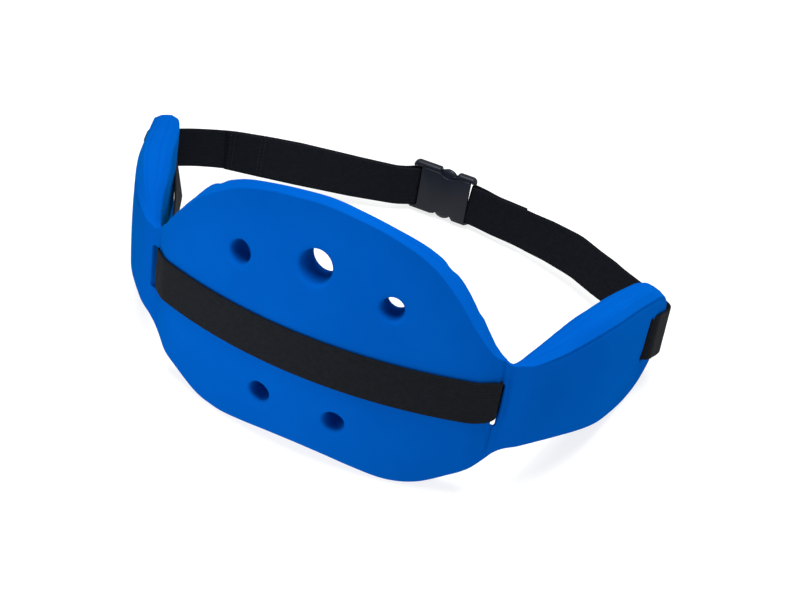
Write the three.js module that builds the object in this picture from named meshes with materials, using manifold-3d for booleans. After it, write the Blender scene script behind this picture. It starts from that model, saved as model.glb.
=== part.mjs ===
// Aqua jogging belt: a moulded foam body of a crowned panel and two wings on thin hinges,
// a flat webbing strap threaded through it, and a fastened side-release buckle at the back.
// The belt is drawn upright in a frame of its own: X to the side, Y from the panel's outer face
// to the buckle, Z up along the waist, origin on the outer face at the middle of the strap.
// The whole belt then leans back until the buckle touches the surface that it rests on.
import * as THREE from "three";
import { mergeVertices } from "three/addons/utils/BufferGeometryUtils.js";
import Module from "manifold-3d";

const wasm = await Module();
wasm.setup();

// Driving sizes in millimetres
const GAP = 0.3; // clearance between touching pieces
const LEAN_DEG = 15.687; // backward lean of the belt at rest
const STRAP_WIDTH = 40;
const STRAP_THICK = 1.8;
const EDGE_ROUND = 2; // rounding of the foam's outer creases
const INNER_ROUND = 3; // rounding of the foam's low waist-side edge
const SLOT_WIDTH = 6;
const SLOT_HEIGHT = 44;
const SEAT_HEIGHT = 42; // recess that seats the strap at a wing's end
const TIP_ROUND = 8; // rounding of a wing's end, seen from above

// Plan of the foam's outer face at the strap: arcs from the middle of the panel to a wing's end,
// with their radii on either side, as the left wing stands a little further open
const PLAN_ARCS = [
  { piece: "panel", length: 140, right: 400, left: 400 },
  { piece: "hinge and wing root", length: 80, right: 118, left: 148 },
  { piece: "wing", length: 70, right: 190, left: 238 },
  { piece: "wing end", length: 84, right: Infinity, left: Infinity },
];
const HALF_LENGTH = PLAN_ARCS.reduce((sum, arc) => sum + arc.length, 0);

// Hinge groove in the outer face, and flex grooves in the waist side next to it
const HINGE = { along: 165, depth: 4.3, halfWidth: 24 };
const FLEX_GROOVES = [
  { along: 104, depth: 2.4, halfWidth: 7 },
  { along: 133, depth: 1.8, halfWidth: 5 },
];

// Foam sections along the plan, one row for each place along it. top and low are the heights of
// the outer face's creases. shoulder, ridge and brink are the heights over the top crease of the
// bevel behind it, of the ridge and of the waist-side edge. lowRise is the bulge of the low edge,
// thick the depth at the strap, and crown how fast the outer face falls back above and below
// the strap, per millimetre.
const COLUMNS = ["along", "top", "low", "shoulder", "ridge", "brink", "lowRise", "thick", "crown"];
const SECTIONS = [
  [0, 130.8, -96, 0.8, 1.4, -3.5, 0.8, 33, 0.001],
  [28, 128.6, -97.3, 0.8, 1.5, -3.5, 0.8, 32, 0.001],
  [53, 124.4, -100.5, 1, 2, -2.5, 0.8, 29.8, 0.001],
  [80, 115.6, -103.8, 2, 4.2, 0, 0.8, 28, 0.001],
  [98, 105.4, -102.1, 2.8, 5.8, 2, 0.8, 27.5, 0.001],
  [113, 92, -97, 3.6, 7.5, 4, 0.8, 27, 0.001],
  [123, 80.5, -91, 3.8, 7.8, 4.5, 0.8, 26.5, 0.001],
  [131, 69.3, -85.3, 3.8, 8, 4.8, 0.8, 26, 0.001],
  [138, 60.4, -80.3, 3.4, 7.1, 4, 0.8, 25.5, 0.001],
  [146, 50.7, -74.2, 2.8, 5.8, 3, 0.8, 23.8, 0.001],
  [155, 41.6, -67.4, 1.8, 3.5, 1.5, 0.8, 19.5, 0.001],
  [163, 36.3, -60.1, 0.8, 1.4, 0.4, 0.8, 14, 0.0009],
  [170, 32.9, -55, 0.5, 0.9, 0.2, 1, 11, 0.0008],
  [177, 33.2, -50.8, 1.4, 3, 2, 1.4, 12.5, 0.0007],
  [185, 34.2, -46.9, 2.6, 6, 4.5, 2, 15.5, 0.0006],
  [206, 41.8, -41.6, 3.4, 7.5, 4.5, 3, 22.5, 0.0005],
  [228, 47.5, -42.3, 4.2, 8, 4, 4, 28.5, 0.0005],
  [250, 51.3, -46, 5.6, 8.6, 3.5, 4, 31, 0.0005],
  [271, 52.6, -50.8, 5.9, 8.5, 3, 4, 31.5, 0.0005],
  [291, 51.6, -55.3, 6, 8.2, 3, 4, 31.5, 0.0005],
  [312, 49.2, -57.8, 6, 8, 3, 4, 30.5, 0.0005],
  [333, 45.8, -56.2, 5.6, 7.8, 3, 3, 28, 0.0005],
  [350, 42.2, -50.6, 4.8, 7, 3, 2, 25, 0.0005],
  [363, 37.6, -42, 3.6, 5.4, 2.5, 1, 21.5, 0.0005],
  [HALF_LENGTH, 31, -30, 2, 3, 2, 1, 17, 0.0005],
].map((row) => Object.fromEntries(COLUMNS.map((name, i) => [name, row[i]])));
const BEVEL = { depth: 6, share: 0.3 }; // depth of the bevel behind the crease, and its most of the edge
const BRINK = { depth: 7, share: 0.4 }; // and of the slope down to the waist side

// The panel's left shoulder is fuller than the right one: along, more at the top and at the low edge
const LEFT_COLUMNS = ["along", "top", "low"];
const LEFT_MORE = [
  [92, 0, 0],
  [100, 0.4, 1],
  [110, 2, 1.5],
  [120, 5, 1.6],
  [130, 7.6, 1.8],
  [140, 8.6, 2.4],
  [150, 7.8, 3.4],
  [158, 5.6, 4.4],
  [165, 3.2, 4.8],
  [172, 0.8, 3.8],
  [180, 0, 2],
  [192, 0, 0],
].map((row) => Object.fromEntries(LEFT_COLUMNS.map((name, i) => [name, row[i]])));

// Stations of the loft: the spacing up to each place along the plan
const STATION_STEPS = [
  { until: 96, step: 8 },
  { until: 112, step: 3.5 },
  { until: 128, step: 8 },
  { until: 188, step: 4 },
  { until: 340, step: 8 },
  { until: HALF_LENGTH - TIP_ROUND, step: 5 },
  { until: HALF_LENGTH, step: 2 },
];
const FACE_ROWS = 10; // rows of faces up the outer face
const INNER_ROWS = 4; // and down the waist side

// Round holes through the panel, square to its plan
const HOLES = [
  { along: 0, z: 79.3, radius: 15 },
  { along: 67.5, z: 65.3, radius: 10 },
  { along: -67.5, z: 65.3, radius: 10 },
  { along: 34.8, z: -55.9, radius: 10 },
  { along: -34.8, z: -55.9, radius: 10 },
];
const HOLE_SIDES = 24;
const HOLE_REACH = 120; // length of the cutters, past both faces

// Strap route seen from above: corners of its centre line, each with the radius of its bend.
// On a wing they are places along the plan and depths in from the outer face
const STRAP_ON_PANEL = 150; // where along the plan it starts to dip into the hinge slot
const PANEL_STEPS = 36;
const WING_ROUTE = [
  { corner: "hinge outside", along: 163.4, depth: 2.4, bend: 4 },
  { corner: "hinge inside", along: 164.4, depth: 15.5, bend: 6 },
  { corner: "end inside", along: 333, depth: 30.5, bend: 6 },
  { corner: "end outside", along: 348, depth: -4.2, bend: 8 },
  { corner: "tip", along: 378, depth: -3.6, bend: 8 },
];
// and behind the belt, between a wing's end and the buckle, they are in X and Y
const RIGHT_BACK = [
  { x: 174, y: 268, bend: 80 },
  { x: 133, y: 287.5, bend: 70 },
  { x: 75, y: 303, bend: 150 },
];
const LEFT_BACK = [
  { x: -58, y: 302, bend: 30 },
  { x: -150, y: 275, bend: 150 },
  { x: -216, y: 253.5, bend: 80 },
];
const LAYER = STRAP_THICK + 2 * GAP; // distance between the middles of two strap layers
const TAIL = [
  { x: 46, y: 306.6 + LAYER, bend: 60 },
  { x: 75, y: 303 + LAYER, bend: 0 },
];
const BEND_STEP_DEG = 15;

// Buckle: u runs along X from its middle, v along Z, w from its waist-side face outward along Y
const BUCKLE = { x: -7, y: 306, z: 1.5, thick: 11, halfHeight: 22.2, plate: 2 };
const SOCKET = { left: -27, right: 22, corner: 2, cavityLeft: -24, sideWall: 2.3 };
const NOTCH = { u: 1, v: 34.3, radius: 15.7, sides: 48 }; // finger notches in its sides
const MOUTH_LEFT = -10.2; // the socket's side walls stop here, beside the buttons
// Side arms that carry the strap bars: ends along u, inner and outer side, rounded outer corner
const LUG_INSET = 2.4;
const SOCKET_LUG = { near: -10.2, far: -37, inside: 22, outside: 25.5, corner: 3.2 };
const PLUG_LUG = { near: 10.5, far: 28.8, inside: 22.5, outside: 25, corner: 2.3 };
const SOCKET_BAR = { u: -31.9, radius: 2.4 };
const PLUG_BAR = { u: 26.6, radius: 1.7 };
const BAR_SIDES = 12;
const BRIDGE = { left: 14, right: 21.5 }; // cross-piece of the plug, inside the socket's mouth
const TONGUE = { left: -20, halfHeight: 2.5 };
const PRONG = { thick: 5.6, inside: 12, outside: 19.6 };
const BUTTON = { u: -1, halfWidth: 8.6, reach: 26.3 };

const DEG = Math.PI / 180;

// Closed geometries to solids, and back
function solid(geometry) {
  const bare = new THREE.BufferGeometry();
  bare.setAttribute("position", geometry.getAttribute("position"));
  bare.setIndex(geometry.index);
  const merged = mergeVertices(bare, 1e-4);
  return new wasm.Manifold(
    new wasm.Mesh({
      numProp: 3,
      vertProperties: merged.getAttribute("position").array,
      triVerts: new Uint32Array(merged.index.array),
    }),
  );
}

function geometryOf(manifold) {
  const mesh = manifold.getMesh();
  const geometry = new THREE.BufferGeometry();
  geometry.setAttribute("position", new THREE.BufferAttribute(mesh.vertProperties, 3));
  geometry.setIndex(new THREE.BufferAttribute(mesh.triVerts, 1));
  geometry.computeVertexNormals();
  return geometry;
}

// Place and heading of the plan curve, on either side of the belt
function planAt(along) {
  const side = Math.sign(along) || 1;
  let rest = Math.abs(along);
  let x = 0;
  let y = 0;
  let heading = 0;
  for (const arc of PLAN_ARCS) {
    const run = Math.min(rest, arc.length);
    const half = run / (side > 0 ? arc.right : arc.left) / 2;
    const chord = half ? (run * Math.sin(half)) / half : run;
    x += chord * Math.cos(heading + half);
    y += chord * Math.sin(heading + half);
    heading += 2 * half;
    rest -= run;
  }
  return { x: side * x, y, heading: side * heading };
}

// Point at a depth inward from the plan curve
function inward(along, depth, z) {
  const p = planAt(along);
  return new THREE.Vector3(p.x - depth * Math.sin(p.heading), p.y + depth * Math.cos(p.heading), z);
}

// One column of the section table at any place, by a smooth curve through its rows
function sectionValue(column, along) {
  const at = Math.abs(along);
  const last = SECTIONS.length - 2;
  const next = SECTIONS.findIndex((row) => row.along >= at);
  const i = THREE.MathUtils.clamp(next - 1, 0, last);
  const from = SECTIONS[i];
  const to = SECTIONS[i + 1];
  const before = i > 0 ? SECTIONS[i - 1] : { ...to, along: -to.along };
  const after = i < last ? SECTIONS[i + 2] : to;
  const slope = (a, b) => (b[column] - a[column]) / (b.along - a.along);
  const span = to.along - from.along;
  const t = (at - from.along) / span;
  return (
    from[column] * (1 + 2 * t) * (1 - t) ** 2 +
    to[column] * (3 - 2 * t) * t ** 2 +
    slope(before, to) * span * t * (1 - t) ** 2 +
    slope(from, after) * span * (t - 1) * t ** 2
  );
}

// How much further the left shoulder reaches at its top or low edge
function leftMore(column, along) {
  const at = -along;
  const next = LEFT_MORE.findIndex((row) => row.along >= at);
  if (next < 1) {
    return 0;
  }
  const from = LEFT_MORE[next - 1];
  const to = LEFT_MORE[next];
  return THREE.MathUtils.mapLinear(at, from.along, to.along, from[column], to[column]);
}

// Depth of the outer face below its plan: hinge groove, rounded wing end and crown,
// and depth of the flex grooves in the waist side
function grooveDepth(along) {
  const off = Math.abs(Math.abs(along) - HINGE.along) / HINGE.halfWidth;
  return off < 1 ? HINGE.depth * Math.cos((off * Math.PI) / 2) ** 2 : 0;
}

function flexDepth(along) {
  let depth = 0;
  for (const groove of FLEX_GROOVES) {
    const off = Math.abs(Math.abs(along) - groove.along) / groove.halfWidth;
    depth += off < 1 ? groove.depth * Math.cos((off * Math.PI) / 2) ** 2 : 0;
  }
  return depth;
}

function tipDepth(along) {
  const into = Math.max(0, Math.abs(along) - (HALF_LENGTH - TIP_ROUND));
  return TIP_ROUND - Math.sqrt(Math.max(0, TIP_ROUND ** 2 - into ** 2));
}

function outerDepth(along, z) {
  return grooveDepth(along) + tipDepth(along) + sectionValue("crown", along) * z * z;
}

// Closed outline of the foam at one station: up the outer face, over the top, down the waist side
function foamSection(along) {
  const top = sectionValue("top", along) + leftMore("top", along);
  const low = sectionValue("low", along) - leftMore("low", along);
  const topOuter = outerDepth(along, top);
  const lowOuter = outerDepth(along, low);
  const inner = sectionValue("thick", along) - tipDepth(along) - flexDepth(along);
  const outline = [];
  for (let row = 0; row <= FACE_ROWS; row++) {
    const z = THREE.MathUtils.lerp(low + EDGE_ROUND, top - EDGE_ROUND, row / FACE_ROWS);
    outline.push({ depth: outerDepth(along, z), z });
  }
  const shoulder = sectionValue("shoulder", along);
  const bevel = Math.min(BEVEL.depth, BEVEL.share * (inner - topOuter));
  const slope = Math.min(BRINK.depth, BRINK.share * (inner - topOuter));
  outline.push({ depth: topOuter + bevel / 4, z: top + shoulder / 4 });
  outline.push({ depth: topOuter + bevel, z: top + shoulder });
  outline.push({ depth: inner - slope, z: top + sectionValue("ridge", along) });
  const brink = top + sectionValue("brink", along);
  for (let row = 0; row <= INNER_ROWS; row++) {
    const z = THREE.MathUtils.lerp(brink, low + INNER_ROUND, row / INNER_ROWS);
    outline.push({ depth: inner, z });
  }
  outline.push({ depth: inner - INNER_ROUND, z: low });
  outline.push({ depth: (lowOuter + inner) / 2, z: low - sectionValue("lowRise", along) });
  outline.push({ depth: lowOuter + EDGE_ROUND, z: low });
  return outline.map((p) => inward(along, p.depth, p.z));
}

function stations() {
  const half = [0];
  for (const { until, step } of STATION_STEPS) {
    const start = half[half.length - 1];
    const count = Math.ceil((until - start) / step);
    for (let k = 1; k <= count; k++) {
      half.push(start + ((until - start) * k) / count);
    }
  }
  const left = half.slice(1).map((along) => -along);
  return [...left.reverse(), ...half];
}

// Closed surface through a row of outlines, with flat ends
function loft(outlines) {
  const count = outlines[0].length;
  const positions = outlines.flat().flatMap((p) => p.toArray());
  const index = [];
  for (let i = 0; i + 1 < outlines.length; i++) {
    for (let j = 0; j < count; j++) {
      const a = i * count + j;
      const b = i * count + ((j + 1) % count);
      index.push(a, a + count, b, b, a + count, b + count);
    }
  }
  const end = (outlines.length - 1) * count;
  for (let j = 1; j + 1 < count; j++) {
    index.push(0, j, j + 1);
    index.push(end, end + j + 1, end + j);
  }
  const geometry = new THREE.BufferGeometry();
  geometry.setAttribute("position", new THREE.Float32BufferAttribute(positions, 3));
  geometry.setIndex(index);
  return geometry;
}

// Centre line through corners, each rounded to its bend where there is room
function roundedLine(corners) {
  const line = [corners[0]];
  for (let i = 1; i + 1 < corners.length; i++) {
    const at = new THREE.Vector2(corners[i].x, corners[i].y);
    const back = new THREE.Vector2(corners[i - 1].x, corners[i - 1].y).sub(at);
    const ahead = new THREE.Vector2(corners[i + 1].x, corners[i + 1].y).sub(at);
    const room = 0.48 * Math.min(back.length(), ahead.length());
    back.normalize();
    ahead.normalize();
    const turn = Math.PI - Math.acos(THREE.MathUtils.clamp(back.dot(ahead), -1, 1));
    const cut = Math.min(corners[i].bend * Math.tan(turn / 2), room);
    const curve = new THREE.QuadraticBezierCurve(
      at.clone().addScaledVector(back, cut),
      at,
      at.clone().addScaledVector(ahead, cut),
    );
    line.push(...curve.getPoints(1 + Math.ceil(turn / (BEND_STEP_DEG * DEG))));
  }
  line.push(corners[corners.length - 1]);
  return line;
}

// Upright band along a centre line, so far to the line's left and right
function band(line, left, right, height) {
  const leftSide = [];
  const rightSide = [];
  line.forEach((point, i) => {
    const before = line[Math.max(0, i - 1)];
    const after = line[Math.min(line.length - 1, i + 1)];
    const length = Math.hypot(after.x - before.x, after.y - before.y);
    const nx = (before.y - after.y) / length;
    const ny = (after.x - before.x) / length;
    leftSide.push(new THREE.Vector2(point.x + left * nx, point.y + left * ny));
    rightSide.push(new THREE.Vector2(point.x - right * nx, point.y - right * ny));
  });
  const shape = new THREE.Shape([...rightSide, ...leftSide.reverse()]);
  const geometry = new THREE.ExtrudeGeometry(shape, { depth: height, bevelEnabled: false });
  return geometry.translate(0, 0, -height / 2);
}

// Corners of the strap's route on one wing, from the hinge to the wing's end
function wingRoute(side) {
  return WING_ROUTE.map(({ along, depth, bend }) => {
    const p = inward(side * along, depth, 0);
    return { x: p.x, y: p.y, bend };
  });
}

// Corners of a straight run, lengthened past both ends
function lengthened(from, to, extra) {
  const length = Math.hypot(to.x - from.x, to.y - from.y);
  const dx = ((to.x - from.x) * extra) / length;
  const dy = ((to.y - from.y) * extra) / length;
  return [
    { x: from.x - dx, y: from.y - dy },
    { x: to.x + dx, y: to.y + dy },
  ];
}

// Foam body: the loft, less the holes, the strap slots and the strap's seats at the wing ends
function foamBody() {
  let body = solid(loft(stations().map(foamSection)));
  for (const { along, z, radius } of HOLES) {
    const { x, y, heading } = planAt(along);
    const cutter = new THREE.CylinderGeometry(radius, radius, HOLE_REACH, HOLE_SIDES);
    body = body.subtract(solid(cutter.rotateZ(heading).translate(x, y, z)));
  }
  const seatDepth = STRAP_THICK / 2 + GAP;
  for (const side of [-1, 1]) {
    const [hingeOutside, hingeInside, endInside, endOutside, tip] = wingRoute(side);
    const slots = [lengthened(hingeOutside, hingeInside, 8), lengthened(endInside, endOutside, 8)];
    for (const slot of slots) {
      body = body.subtract(solid(band(slot, SLOT_WIDTH / 2, SLOT_WIDTH / 2, SLOT_HEIGHT)));
    }
    const seat = roundedLine([endOutside, tip, side > 0 ? RIGHT_BACK[0] : LEFT_BACK.at(-1)]);
    const ordered = side > 0 ? seat : seat.reverse();
    body = body.subtract(solid(band(ordered, seatDepth, 3 * TIP_ROUND, SEAT_HEIGHT)));
  }
  return geometryOf(body);
}

// Strap's line over the panel's outer face, from left to right
function panelLine() {
  const line = [];
  for (let k = 0; k <= PANEL_STEPS; k++) {
    const along = STRAP_ON_PANEL * ((2 * k) / PANEL_STEPS - 1);
    const p = inward(along, grooveDepth(along) - GAP - STRAP_THICK / 2, 0);
    line.push({ x: p.x, y: p.y });
  }
  return line;
}

// Fold of the strap round a bar, from the bar's waist side to its outer side
function foldLine(bar, side, lastTurn) {
  const radius = bar.radius + GAP + STRAP_THICK / 2;
  const middle = BUCKLE.y + BUCKLE.thick / 2;
  const line = [];
  for (let turn = -90; turn <= lastTurn; turn += 2 * BEND_STEP_DEG) {
    const x = BUCKLE.x + bar.u + side * radius * Math.cos(turn * DEG);
    line.push({ x, y: middle + radius * Math.sin(turn * DEG) });
  }
  return line;
}

// Strap: sewn fold, socket bar, left wing, panel, right wing, plug bar and tail
function strap() {
  const socketFold = foldLine(SOCKET_BAR, 1, 120);
  const plugFold = foldLine(PLUG_BAR, -1, 90);
  const panel = panelLine();
  const sewn = LEFT_BACK.map((c) => ({ ...c, y: c.y - LAYER })).reverse();
  const left = [socketFold.at(-1), ...LEFT_BACK, ...wingRoute(-1).reverse(), panel[0]];
  const right = [panel.at(-1), ...wingRoute(1), ...RIGHT_BACK, plugFold[0]];
  const line = [
    ...roundedLine([...sewn, socketFold[0]]),
    ...socketFold.slice(1),
    ...roundedLine(left).slice(1),
    ...panel.slice(1),
    ...roundedLine(right).slice(1),
    ...plugFold.slice(1),
    ...roundedLine([plugFold.at(-1), ...TAIL]).slice(1),
  ];
  return band(line, STRAP_THICK / 2, STRAP_THICK / 2, STRAP_WIDTH);
}

// Buckle solids: a block between two corners, an outline in u and v, a lug and a strap bar
function block(u, v, w) {
  const geometry = new THREE.BoxGeometry(u[1] - u[0], w[1] - w[0], v[1] - v[0]);
  const middle = [u, w, v].map(([from, to]) => (from + to) / 2);
  geometry.translate(BUCKLE.x + middle[0], BUCKLE.y + middle[1], middle[2]);
  return solid(geometry);
}

function plate(shape, w) {
  const options = { depth: w[1] - w[0], bevelEnabled: false, curveSegments: 6 };
  const geometry = new THREE.ExtrudeGeometry(shape, options);
  return solid(geometry.rotateX(Math.PI / 2).translate(BUCKLE.x, BUCKLE.y + w[1], 0));
}

function lug({ near, far, inside, outside, corner }, side) {
  const shape = new THREE.Shape();
  shape.moveTo(near, side * inside);
  shape.lineTo(far, side * inside);
  shape.lineTo(far, side * (outside - corner));
  shape.quadraticCurveTo(far, side * outside, far - Math.sign(far - near) * corner, side * outside);
  shape.lineTo(near, side * outside);
  return plate(shape, [LUG_INSET, BUCKLE.thick - LUG_INSET]);
}

function strapBar(bar, between) {
  const length = 2 * between.inside + 1;
  const geometry = new THREE.CylinderGeometry(bar.radius, bar.radius, length, BAR_SIDES);
  geometry.rotateX(Math.PI / 2);
  return solid(geometry.translate(BUCKLE.x + bar.u, BUCKLE.y + BUCKLE.thick / 2, 0));
}

function roundedPlate(left, right, halfHeight, corner) {
  const shape = new THREE.Shape();
  shape.moveTo(right, -halfHeight);
  shape.lineTo(right, halfHeight);
  shape.lineTo(left + corner, halfHeight);
  shape.absarc(left + corner, halfHeight - corner, corner, Math.PI / 2, Math.PI, false);
  shape.absarc(left + corner, corner - halfHeight, corner, Math.PI, 1.5 * Math.PI, false);
  return shape;
}

// Socket: two plates joined by side walls, open at its mouth and finger notches
function buckleSocket() {
  const { left, right, corner, cavityLeft, sideWall } = SOCKET;
  const { thick, halfHeight } = BUCKLE;
  const cavity = [BUCKLE.plate, thick - BUCKLE.plate];
  const past = 1;
  let body = plate(roundedPlate(left, right, halfHeight, corner), [0, thick]);
  const room = halfHeight - sideWall;
  body = body.subtract(block([cavityLeft, right + past], [-room, room], cavity));
  body = body.subtract(block([MOUTH_LEFT, right + past], [-halfHeight - past, halfHeight + past], cavity));
  for (const side of [-1, 1]) {
    const notch = new THREE.CylinderGeometry(NOTCH.radius, NOTCH.radius, 3 * thick, NOTCH.sides);
    body = body.subtract(solid(notch.translate(BUCKLE.x + NOTCH.u, BUCKLE.y, side * NOTCH.v)));
    body = body.add(lug(SOCKET_LUG, side));
  }
  return geometryOf(body.add(strapBar(SOCKET_BAR, SOCKET_LUG))).translate(0, 0, BUCKLE.z);
}

// Half outline of a prong: a spring arm with a hooked nose and a round button
function prongShape(side) {
  const { inside, outside } = PRONG;
  const shape = new THREE.Shape();
  shape.moveTo(BRIDGE.left + 1, side * inside);
  shape.lineTo(-12, side * (inside + 1));
  shape.lineTo(-15, side * (inside + 4));
  shape.lineTo(-13, side * outside);
  shape.lineTo(BUTTON.u - BUTTON.halfWidth, side * outside);
  const reach = side * (BUTTON.reach - outside);
  const across = BUTTON.halfWidth;
  for (let turn = 150; turn >= 30; turn -= 30) {
    const v = side * outside + reach * Math.sin(turn * DEG);
    shape.lineTo(BUTTON.u + across * Math.cos(turn * DEG), v);
  }
  shape.lineTo(BUTTON.u + BUTTON.halfWidth, side * outside);
  shape.lineTo(BRIDGE.left + 1, side * (outside - 1));
  return shape;
}

// Plug: a bridge in the socket's mouth, two prongs and a tongue behind it, a strap bar in front
function bucklePlug() {
  const { thick } = BUCKLE;
  const inset = (thick - PRONG.thick) / 2;
  const reach = PLUG_LUG.inside + 0.5;
  const within = [inset, thick - inset];
  const { left, right } = BRIDGE;
  let body = block([left, right], [-reach, reach], within);
  body = body.add(block([TONGUE.left, left + 1], [-TONGUE.halfHeight, TONGUE.halfHeight], within));
  for (const side of [-1, 1]) {
    body = body.add(plate(prongShape(side), within));
    body = body.add(lug(PLUG_LUG, side));
  }
  return geometryOf(body.add(strapBar(PLUG_BAR, PLUG_LUG))).translate(0, 0, BUCKLE.z);
}

// Materials
const FOAM = { color: 0x0a5fc4, roughness: 0.6, metalness: 0 };
const WEBBING = { color: 0x1e2126, roughness: 0.9, metalness: 0 };
const PLASTIC = { color: 0x292d36, roughness: 0.4, metalness: 0 };

const belt = new THREE.Group();
const pieces = [
  { name: "foam_body", geometry: foamBody(), finish: FOAM },
  { name: "webbing_strap", geometry: strap(), finish: WEBBING },
  { name: "buckle_socket", geometry: buckleSocket(), finish: PLASTIC },
  { name: "buckle_plug", geometry: bucklePlug(), finish: PLASTIC },
];
for (const { name, geometry, finish } of pieces) {
  const mesh = new THREE.Mesh(geometry, new THREE.MeshStandardMaterial(finish));
  mesh.name = name;
  belt.add(mesh);
}
belt.rotation.x = -LEAN_DEG * DEG;

// Origin on the surface that the belt rests on, under the middle of its box
const root = new THREE.Group();
root.add(belt);
root.updateMatrixWorld(true);
const box = new THREE.Box3().setFromObject(root, true);
belt.position.set(-(box.min.x + box.max.x) / 2, -(box.min.y + box.max.y) / 2, -box.min.z);

export default root;
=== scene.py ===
"""Aqua jogging belt: a blue moulded foam body, a black webbing strap and a side-release buckle."""
import math

import bmesh
import bpy
import numpy as np
from mathutils import Matrix, Vector
from mathutils.geometry import delaunay_2d_cdt


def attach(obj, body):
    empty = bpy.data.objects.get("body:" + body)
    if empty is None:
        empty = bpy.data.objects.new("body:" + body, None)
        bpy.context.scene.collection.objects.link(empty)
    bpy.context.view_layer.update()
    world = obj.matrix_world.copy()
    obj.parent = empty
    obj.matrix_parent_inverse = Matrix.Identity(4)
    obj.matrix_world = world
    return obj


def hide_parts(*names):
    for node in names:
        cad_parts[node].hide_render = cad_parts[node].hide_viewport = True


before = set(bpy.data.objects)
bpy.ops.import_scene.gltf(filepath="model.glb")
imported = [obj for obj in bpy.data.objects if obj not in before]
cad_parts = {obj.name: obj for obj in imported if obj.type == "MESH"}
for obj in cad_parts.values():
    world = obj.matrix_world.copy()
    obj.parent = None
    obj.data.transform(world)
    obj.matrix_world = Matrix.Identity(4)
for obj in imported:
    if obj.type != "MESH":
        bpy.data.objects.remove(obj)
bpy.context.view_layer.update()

# Millimetres in the belt's own upright frame: X to the right, Y from the panel to the buckle, Z up.
# The belt leans back and is shifted into the shared frame.
LEAN = math.radians(15.687)
BELT_AT = np.array([15.4258, -147.3459, 108.8585])

# Plan arcs of the foam's outer face: length, radius on the right, radius on the left
PLAN_ARCS = [(140, 400, 400), (80, 118, 148), (70, 190, 238), (84, math.inf, math.inf)]
HALF_LENGTH = 374.0
HINGE_AT, HINGE_DEPTH, HINGE_HALF = 165.0, 4.3, 24.0
FLEX_GROOVES = [(104, 2.4, 7), (133, 1.8, 5)]  # along, depth, half width
# Fine lines beside the hinge slots: along, depth, half width
CREASES = [(163.4, 1.6, 2.2), (169.8, 0.8, 2.2)]
CREASE_FADE = (4, 12)  # they start this far above the low crease, and come in over this height
# Foam sections: along, outer top crease, low crease, heights of the shoulder, the ridge and the
# waist-side brink over the top crease, bulge of the low edge, thickness, crown
SECTIONS = np.array([
    (0, 130.8, -96, 0.8, 1.4, -3.5, 0.8, 33, 0.001),
    (28, 128.6, -97.3, 0.8, 1.5, -3.5, 0.8, 32, 0.001),
    (53, 124.4, -100.5, 1, 2, -2.5, 0.8, 29.8, 0.001),
    (80, 115.6, -103.8, 2, 4.2, 0, 0.8, 28, 0.001),
    (98, 105.4, -102.1, 2.8, 5.8, 2, 0.8, 27.5, 0.001),
    (113, 92, -97, 3.6, 7.5, 4, 0.8, 27, 0.001),
    (123, 80.5, -91, 3.8, 7.8, 4.5, 0.8, 26.5, 0.001),
    (131, 69.3, -85.3, 3.8, 8, 4.8, 0.8, 26, 0.001),
    (138, 61.1, -80.3, 3.4, 7.1, 4, 0.8, 25.5, 0.001),
    (146, 51.7, -75.4, 2.8, 5.8, 3, 0.8, 23.8, 0.001),
    (155, 42.7, -70.4, 1.8, 3.5, 1.5, 0.8, 19.5, 0.001),
    (163, 38.9, -62.4, 0.6, 0.4, -1.0, 0.8, 14, 0.0009),
    (170, 35.0, -53.2, 0.3, -0.6, -1.8, 1, 11, 0.0008),
    (177, 36.3, -47.3, 0.6, 0.2, -1.2, 1.4, 12.2, 0.0007),
    (185, 37.4, -44.2, 1.4, 3.2, 1.6, 2, 14.8, 0.0006),
    (206, 42.8, -41.3, 3, 6, 3.4, 3, 22, 0.0005),
    (228, 48, -42.3, 4.2, 7.4, 3.4, 4, 28.2, 0.0005),
    (250, 51.7, -46, 5.4, 8.2, 3.1, 4, 31, 0.0005),
    (271, 52.6, -50.8, 5.9, 8.5, 3, 4, 31.5, 0.0005),
    (291, 51.6, -55.3, 6, 8.2, 3, 4, 31.5, 0.0005),
    (312, 49.2, -57.8, 6, 8, 3, 4, 30.5, 0.0005),
    (333, 45.8, -57.8, 5.6, 7.8, 3, 3, 28, 0.0005),
    (350, 43, -53.2, 4.8, 7, 3, 2, 25, 0.0005),
    (363, 40.4, -45, 3.6, 5.8, 2.5, 1, 21.5, 0.0005),
    (374, 35.5, -33.5, 2.4, 4, 2, 1, 17, 0.0005),
])
TOP, LOW, SHOULDER, RIDGE, BRINK, LOW_RISE, THICK, CROWN = range(1, 9)
# The panel's left shoulder is fuller than the right one: along, more at the top, more at the low edge
LEFT_MORE = np.array([
    (92, 0, 0), (100, 0.4, 1), (110, 2, 1.5), (120, 4.4, 1.6), (130, 6.8, 1.8), (140, 7.8, 2.2),
    (150, 6.8, 2.4), (158, 4.0, 3.2), (165, 0.7, 4.4), (172, -0.8, 5.9), (180, -1.2, 5), (192, 0, 1.6),
    (206, 0, 0), (335, 0, 0), (352, 1.8, 0), (374, 1, 0),
])
# The left wing's top crease lies lower under a steeper bevel: along, drop
LEFT_DROP = np.array([(188, 0), (212, 5), (240, 7.5), (285, 7), (305, 4.5), (322, 1.5), (335, 0)])
# The right wing's ridge and brink lie lower than the left one's: along, by how much
RIGHT_LESS = np.array([
    (190, 0), (206, 1.4), (228, 4.6), (250, 5), (291, 4.6),
    (312, 4.2), (333, 2.2), (350, 0), (363, -2.4), (374, -3),
])
TIP_CORNER, TIP_BULGE, TIP_REACH = 21.0, 5.0, 30  # rounding of the wing tips, and how far it reaches
PANEL_END = (115, 35)  # the panel's rim fades out from here, over this length
WING_FROM = (185, 25)  # the wings' edge forms come in from here, over this length
WING_GROOVE = 1.3  # depth of the groove beside the wings' top crease
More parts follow.
